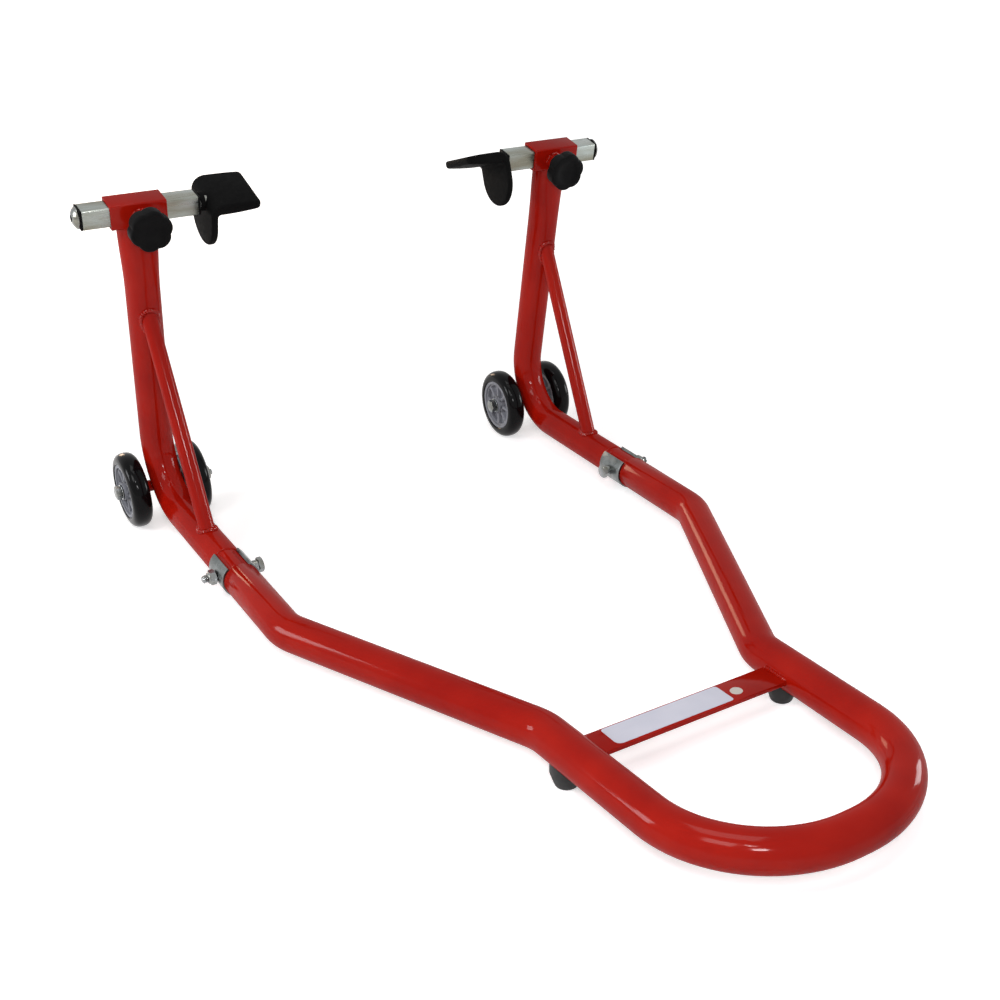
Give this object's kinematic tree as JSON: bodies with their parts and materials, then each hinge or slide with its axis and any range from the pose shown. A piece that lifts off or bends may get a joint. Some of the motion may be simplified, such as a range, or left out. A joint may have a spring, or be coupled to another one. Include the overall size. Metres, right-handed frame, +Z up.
{
  "type": "motorcycle paddock stand",
  "caption": "Red tubular rear paddock stand with a round handle, braced uprights, sliding bars with rubber swing-arm pads, clamp knobs and small rolling wheels.",
  "frame": {"origin": "on the floor under the middle of the stand's bounding box", "axes": "+Z up, +X to the right of a user who stands at the handle and looks at the uprights, +Y from the handle towards the uprights and wheels"},
  "size_m": [0.5692, 0.8871, 0.3617],
  "materials": {
    "red_paint": "red powder coat",
    "zinc": "zinc plate, dull",
    "pad_rubber": "matt black rubber",
    "core_steel": "blackened steel, hidden in the boot",
    "tyre_rubber": "smooth black rubber",
    "hub_plastic": "grey moulded plastic",
    "black_plastic": "black moulded plastic"
  },
  "bodies": {
    "frame": {"handle_frame": "red_paint", "cross_plate": "red_paint", "rubber_foot_left": "pad_rubber", "foot_screw_left": "zinc", "upright_left": "red_paint", "brace_left": "red_paint", "sleeve_left": "red_paint", "clamp_nut_left": "red_paint", "axle_bush_left": "red_paint", "axle_bolt_left": "zinc", "axle_nut_left": "zinc", "axle_washer_left_a": "zinc", "axle_washer_left_b": "zinc", "axle_washer_left_c": "zinc", "axle_washer_left_d": "zinc", "saddle_left": "zinc", "coupling_bolt_left": "zinc", "coupling_nut_left": "zinc", "rubber_foot_right": "pad_rubber", "foot_screw_right": "zinc", "upright_right": "red_paint", "brace_right": "red_paint", "sleeve_right": "red_paint", "clamp_nut_right": "red_paint", "axle_bush_right": "red_paint", "axle_bolt_right": "zinc", "axle_nut_right": "zinc", "axle_washer_right_a": "zinc", "axle_washer_right_b": "zinc", "axle_washer_right_c": "zinc", "axle_washer_right_d": "zinc", "saddle_right": "zinc", "coupling_bolt_right": "zinc", "coupling_nut_right": "zinc"},
    "sliding_bar_left": {"bar_left": "zinc", "bar_plug_left_inner": "black_plastic", "bar_plug_left_outer": "black_plastic"},
    "pad_left": {"pad_bolt_left": "zinc", "pad_spacer_left": "zinc", "pad_core_left": "core_steel", "pad_boot_left": "pad_rubber"},
    "stud_left": {"clamp_stud_left": "zinc"},
    "knob_left_body": {"knob_left": "black_plastic"},
    "wheel_left_outer": {"tyre_left_outer": "tyre_rubber", "hub_left_outer": "hub_plastic"},
    "wheel_left_inner": {"tyre_left_inner": "tyre_rubber", "hub_left_inner": "hub_plastic"},
    "sliding_bar_right": {"bar_right": "zinc", "bar_plug_right_inner": "black_plastic", "bar_plug_right_outer": "black_plastic"},
    "pad_right": {"pad_bolt_right": "zinc", "pad_spacer_right": "zinc", "pad_core_right": "core_steel", "pad_boot_right": "pad_rubber"},
    "stud_right": {"clamp_stud_right": "zinc"},
    "knob_right_body": {"knob_right": "black_plastic"},
    "wheel_right_outer": {"tyre_right_outer": "tyre_rubber", "hub_right_outer": "hub_plastic"},
    "wheel_right_inner": {"tyre_right_inner": "tyre_rubber", "hub_right_inner": "hub_plastic"}
  },
  "joints": [
    {"name": "bar_slide_left", "type": "slide", "parent": "frame", "child": "sliding_bar_left", "axis": [1, 0, 0], "range_m": [-0.0374, 0.0269]},
    {"name": "pad_turn_left", "type": "hinge", "parent": "sliding_bar_left", "child": "pad_left", "pos_m": [-0.1618, 0.34304, 0.34313], "axis": [1, 0, 0], "continuous": true},
    {"name": "clamp_slide_left", "type": "slide", "parent": "frame", "child": "stud_left", "axis": [0, -0.9763, -0.2164], "range_m": [0, 0.0045]},
    {"name": "knob_turn_left", "type": "hinge", "parent": "stud_left", "child": "knob_left_body", "pos_m": [-0.2239, 0.3438, 0.33972], "axis": [0, -0.9763, -0.2164], "range_deg": [0, 1080]},
    {"name": "wheel_spin_left_outer", "type": "hinge", "parent": "frame", "child": "wheel_left_outer", "pos_m": [-0.2577, 0.4036, 0.04], "axis": [1, 0, 0], "continuous": true},
    {"name": "wheel_spin_left_inner", "type": "hinge", "parent": "frame", "child": "wheel_left_inner", "pos_m": [-0.1937, 0.4036, 0.04], "axis": [1, 0, 0], "continuous": true},
    {"name": "bar_slide_right", "type": "slide", "parent": "frame", "child": "sliding_bar_right", "axis": [-1, 0, 0], "range_m": [-0.0374, 0.0269]},
    {"name": "pad_turn_right", "type": "hinge", "parent": "sliding_bar_right", "child": "pad_right", "pos_m": [0.1618, 0.34304, 0.34313], "axis": [1, 0, 0], "continuous": true},
    {"name": "clamp_slide_right", "type": "slide", "parent": "frame", "child": "stud_right", "axis": [0, -0.9763, -0.2164], "range_m": [0, 0.0045]},
    {"name": "knob_turn_right", "type": "hinge", "parent": "stud_right", "child": "knob_right_body", "pos_m": [0.2239, 0.3438, 0.33972], "axis": [0, -0.9763, -0.2164], "range_deg": [0, 1080]},
    {"name": "wheel_spin_right_outer", "type": "hinge", "parent": "frame", "child": "wheel_right_outer", "pos_m": [0.2577, 0.4036, 0.04], "axis": [1, 0, 0], "continuous": true},
    {"name": "wheel_spin_right_inner", "type": "hinge", "parent": "frame", "child": "wheel_right_inner", "pos_m": [0.1937, 0.4036, 0.04], "axis": [1, 0, 0], "continuous": true}
  ],
  "couplings": [
    {"joint": "clamp_slide_left", "follows": "knob_turn_left", "m_per_rad": 0.00023873},
    {"joint": "clamp_slide_right", "follows": "knob_turn_right", "m_per_rad": 0.00023873}
  ]
}
